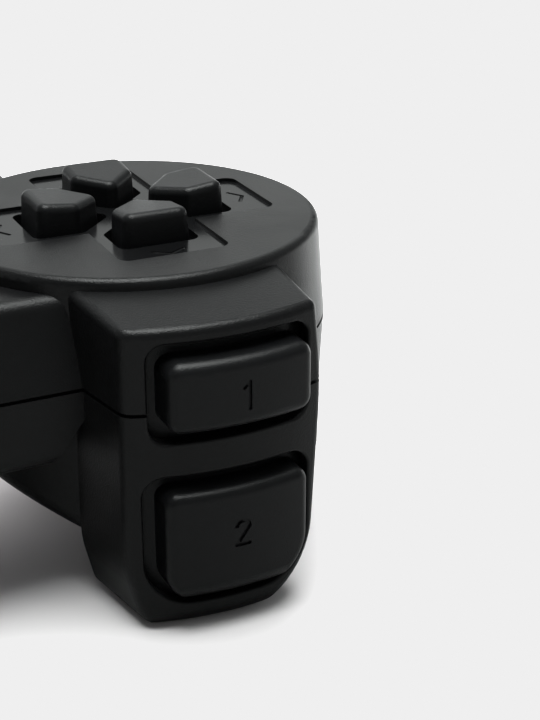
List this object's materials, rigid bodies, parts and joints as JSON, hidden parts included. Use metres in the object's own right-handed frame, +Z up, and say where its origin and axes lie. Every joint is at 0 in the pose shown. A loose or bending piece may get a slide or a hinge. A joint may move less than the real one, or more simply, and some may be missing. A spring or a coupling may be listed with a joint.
{
  "type": "gamepad",
  "caption": "Two-handed game controller with direction keys, face buttons, thumb sticks, stacked shoulder buttons and rumble motors in a screwed two-part shell.",
  "frame": {"origin": "under the middle of the pad's bounding box, on the surface it rests on", "axes": "+X to the player's right, +Y away from the player towards the shoulder buttons, +Z up"},
  "size_m": [0.154, 0.097, 0.056],
  "materials": {
    "shell": "black, fine spark-eroded grain, satin",
    "button": "black, smoother satin",
    "thumb_rubber": "black, matt",
    "gland_rubber": "black, matt",
    "mat_rubber": "grey silicone, matt",
    "circuit_board": "green lacquered laminate",
    "chip": "black moulded",
    "sensor": "moulded, satin",
    "ribbon": "amber film",
    "lens": "clear red",
    "steel": "zinc plated",
    "weight": "sintered, dull"
  },
  "bodies": {
    "root": {"upper_shell": "shell", "lower_shell": "shell", "lamp_pipe": "lens", "direction_mat": "mat_rubber", "face_mat": "mat_rubber", "centre_mat": "mat_rubber", "main_board": "circuit_board", "controller_chip": "chip", "board_parts": "chip", "shell_screws": "steel", "board_screws": "steel", "cord_gland": "gland_rubber", "left_trigger_pin": "steel", "left_shoulder_bracket": "shell", "left_shoulder_board": "circuit_board", "left_shoulder_mat": "mat_rubber", "left_shoulder_ribbon": "ribbon", "left_rumble_motor": "steel", "left_stick_frame": "steel", "left_stick_sensors": "sensor", "left_stick_switch": "chip", "left_stick_spring": "steel", "right_trigger_pin": "steel", "right_shoulder_bracket": "shell", "right_shoulder_board": "circuit_board", "right_shoulder_mat": "mat_rubber", "right_shoulder_ribbon": "ribbon", "right_rumble_motor": "steel", "right_stick_frame": "steel", "right_stick_sensors": "sensor", "right_stick_switch": "chip", "right_stick_spring": "steel"},
    "direction_key_up": {"direction_key_up": "button"},
    "direction_key_down": {"direction_key_down": "button"},
    "direction_key_left": {"direction_key_left": "button"},
    "direction_key_right": {"direction_key_right": "button"},
    "face_button_1": {"face_button_1": "button"},
    "face_button_2": {"face_button_2": "button"},
    "face_button_3": {"face_button_3": "button"},
    "face_button_4": {"face_button_4": "button"},
    "select_button": {"select_button": "thumb_rubber"},
    "start_button": {"start_button": "thumb_rubber"},
    "mode_button": {"mode_button": "thumb_rubber"},
    "left_bumper": {"left_bumper": "button"},
    "right_bumper": {"right_bumper": "button"},
    "left_trigger": {"left_trigger": "button"},
    "right_trigger": {"right_trigger": "button"},
    "left_gimbal": {"left_stick_gimbal": "sensor"},
    "left_pivot": {"left_stick_pivot": "sensor"},
    "left_bail": {"left_stick_bail": "steel"},
    "left_stick": {"left_stick_shaft": "sensor", "left_stick_cap": "thumb_rubber"},
    "right_gimbal": {"right_stick_gimbal": "sensor"},
    "right_pivot": {"right_stick_pivot": "sensor"},
    "right_bail": {"right_stick_bail": "steel"},
    "right_stick": {"right_stick_shaft": "sensor", "right_stick_cap": "thumb_rubber"},
    "left_rumble": {"left_rumble_weight": "weight"},
    "right_rumble": {"right_rumble_weight": "weight"}
  },
  "joints": [
    {"name": "press_direction_up", "type": "slide", "parent": "root", "child": "direction_key_up", "axis": [0, 0, -1], "range_m": [0, 0.0012], "stiffness_N_per_m": 650, "deforming": ["direction_mat"]},
    {"name": "press_direction_down", "type": "slide", "parent": "root", "child": "direction_key_down", "axis": [0, 0, -1], "range_m": [0, 0.0012], "stiffness_N_per_m": 650},
    {"name": "press_direction_left", "type": "slide", "parent": "root", "child": "direction_key_left", "axis": [0, 0, -1], "range_m": [0, 0.0012], "stiffness_N_per_m": 650},
    {"name": "press_direction_right", "type": "slide", "parent": "root", "child": "direction_key_right", "axis": [0, 0, -1], "range_m": [0, 0.0012], "stiffness_N_per_m": 650},
    {"name": "press_face_1", "type": "slide", "parent": "root", "child": "face_button_1", "axis": [0, 0, -1], "range_m": [0, 0.0012], "stiffness_N_per_m": 650, "deforming": ["face_mat"]},
    {"name": "press_face_2", "type": "slide", "parent": "root", "child": "face_button_2", "axis": [0, 0, -1], "range_m": [0, 0.0012], "stiffness_N_per_m": 650},
    {"name": "press_face_3", "type": "slide", "parent": "root", "child": "face_button_3", "axis": [0, 0, -1], "range_m": [0, 0.0012], "stiffness_N_per_m": 650},
    {"name": "press_face_4", "type": "slide", "parent": "root", "child": "face_button_4", "axis": [0, 0, -1], "range_m": [0, 0.0012], "stiffness_N_per_m": 650},
    {"name": "press_select", "type": "slide", "parent": "root", "child": "select_button", "axis": [0, 0, -1], "range_m": [0, 0.0008], "stiffness_N_per_m": 600, "deforming": ["centre_mat"]},
    {"name": "press_start", "type": "slide", "parent": "root", "child": "start_button", "axis": [0, 0, -1], "range_m": [0, 0.0008], "stiffness_N_per_m": 600},
    {"name": "press_mode", "type": "slide", "parent": "root", "child": "mode_button", "axis": [0, 0, -1], "range_m": [0, 0.0008], "stiffness_N_per_m": 600},
    {"name": "press_left_bumper", "type": "slide", "parent": "root", "child": "left_bumper", "axis": [0, -1, 0], "range_m": [0, 0.0014], "stiffness_N_per_m": 650, "deforming": ["left_shoulder_mat"]},
    {"name": "press_right_bumper", "type": "slide", "parent": "root", "child": "right_bumper", "axis": [0, -1, 0], "range_m": [0, 0.0014], "stiffness_N_per_m": 650, "deforming": ["right_shoulder_mat"]},
    {"name": "pull_left_trigger", "type": "hinge", "parent": "root", "child": "left_trigger", "pos_m": [-0.049, 0.0396, 0.0222], "axis": [-1, 0, 0], "range_deg": [0, 7], "stiffness_Nm_per_rad": 0.12},
    {"name": "pull_right_trigger", "type": "hinge", "parent": "root", "child": "right_trigger", "pos_m": [0.049, 0.0396, 0.0222], "axis": [-1, 0, 0], "range_deg": [0, 7], "stiffness_Nm_per_rad": 0.12},
    {"name": "tilt_left_stick_forward", "type": "hinge", "parent": "root", "child": "left_gimbal", "pos_m": [-0.0235, -0.0235, 0.0352], "axis": [1, 0, 0], "range_deg": [-18, 18], "stiffness_Nm_per_rad": 0.03, "deforming": ["left_stick_spring"]},
    {"name": "tilt_left_stick_sideways", "type": "hinge", "parent": "left_gimbal", "child": "left_pivot", "pos_m": [-0.0235, -0.0235, 0.0352], "axis": [0, 1, 0], "range_deg": [-18, 18], "stiffness_Nm_per_rad": 0.03},
    {"name": "turn_left_bail", "type": "hinge", "parent": "root", "child": "left_bail", "pos_m": [-0.0235, -0.0235, 0.0352], "axis": [0, 1, 0], "range_deg": [-18, 18]},
    {"name": "press_left_stick", "type": "slide", "parent": "left_pivot", "child": "left_stick", "axis": [0, 0, -1], "range_m": [0, 0.0005], "stiffness_N_per_m": 1500},
    {"name": "tilt_right_stick_forward", "type": "hinge", "parent": "root", "child": "right_gimbal", "pos_m": [0.0235, -0.0235, 0.0352], "axis": [1, 0, 0], "range_deg": [-18, 18], "stiffness_Nm_per_rad": 0.03, "deforming": ["right_stick_spring"]},
    {"name": "tilt_right_stick_sideways", "type": "hinge", "parent": "right_gimbal", "child": "right_pivot", "pos_m": [0.0235, -0.0235, 0.0352], "axis": [0, 1, 0], "range_deg": [-18, 18], "stiffness_Nm_per_rad": 0.03},
    {"name": "turn_right_bail", "type": "hinge", "parent": "root", "child": "right_bail", "pos_m": [0.0235, -0.0235, 0.0352], "axis": [0, 1, 0], "range_deg": [-18, 18]},
    {"name": "press_right_stick", "type": "slide", "parent": "right_pivot", "child": "right_stick", "axis": [0, 0, -1], "range_m": [0, 0.0005], "stiffness_N_per_m": 1500},
    {"name": "spin_left_rumble", "type": "hinge", "parent": "root", "child": "left_rumble", "pos_m": [-0.055, -0.017, 0.016], "axis": [0, 1, 0], "continuous": true},
    {"name": "spin_right_rumble", "type": "hinge", "parent": "root", "child": "right_rumble", "pos_m": [0.055, -0.017, 0.016], "axis": [0, 1, 0], "continuous": true}
  ],
  "couplings": [
    {"joint": "turn_left_bail", "follows": "tilt_left_stick_sideways", "ratio": 1},
    {"joint": "turn_right_bail", "follows": "tilt_right_stick_sideways", "ratio": 1}
  ]
}
